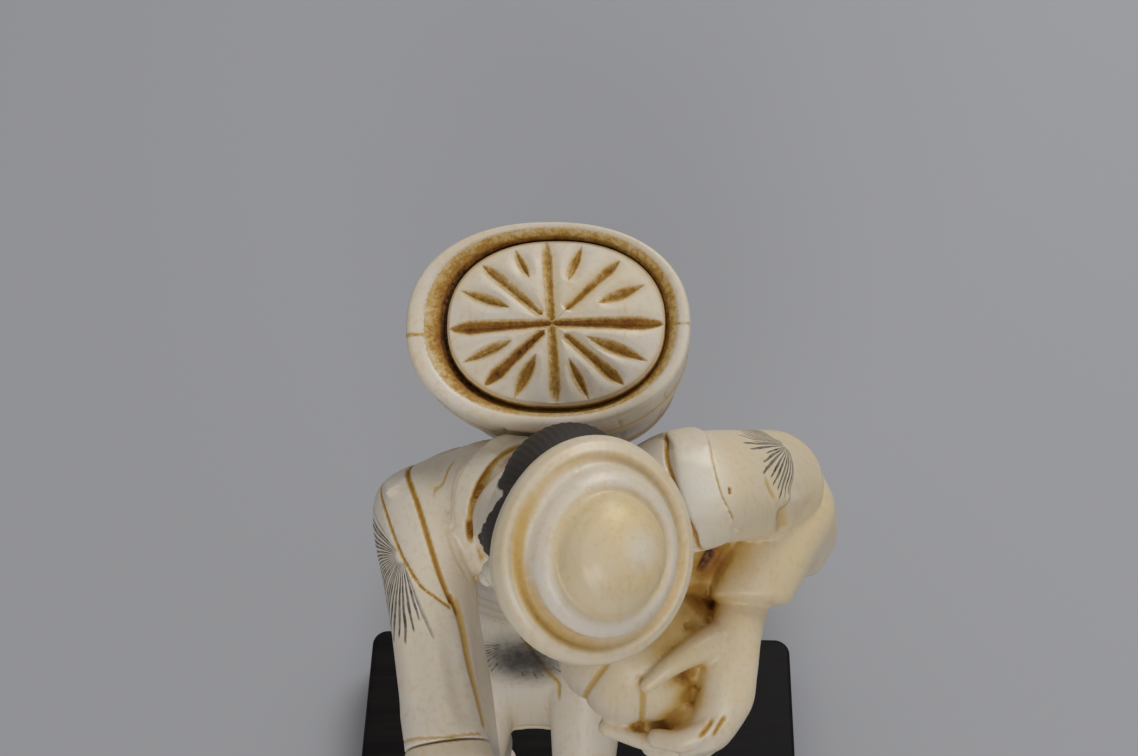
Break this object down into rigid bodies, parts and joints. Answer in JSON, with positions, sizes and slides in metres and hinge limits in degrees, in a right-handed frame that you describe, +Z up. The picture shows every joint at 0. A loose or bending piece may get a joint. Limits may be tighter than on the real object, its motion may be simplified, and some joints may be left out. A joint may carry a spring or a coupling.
{
  "type": "okimono figure",
  "caption": "Carved ivory okimono of a stooping pedlar with a lidded tub on the back, a melon in the left hand and the right hand held out, on a dark wood plinth.",
  "frame": {"origin": "centre of the plinth's flat underside", "axes": "+Z up, +X to the figure's left, +Y to the figure's back, so the figure faces -Y"},
  "size_m": [0.086, 0.0983, 0.1516],
  "materials": {
    "ivory": "polished carved ivory, brown stain in the cuts, inked hair and dress pattern",
    "tub_ivory": "polished ivory, inside of the rim and the lid's cuts stained brown",
    "dark_wood": "waxed near-black hardwood"
  },
  "bodies": {
    "root": {"plinth": "dark_wood", "figure": "ivory", "tub": "tub_ivory", "tub_lid": "tub_ivory", "right_hand": "ivory"}
  },
  "joints": []
}
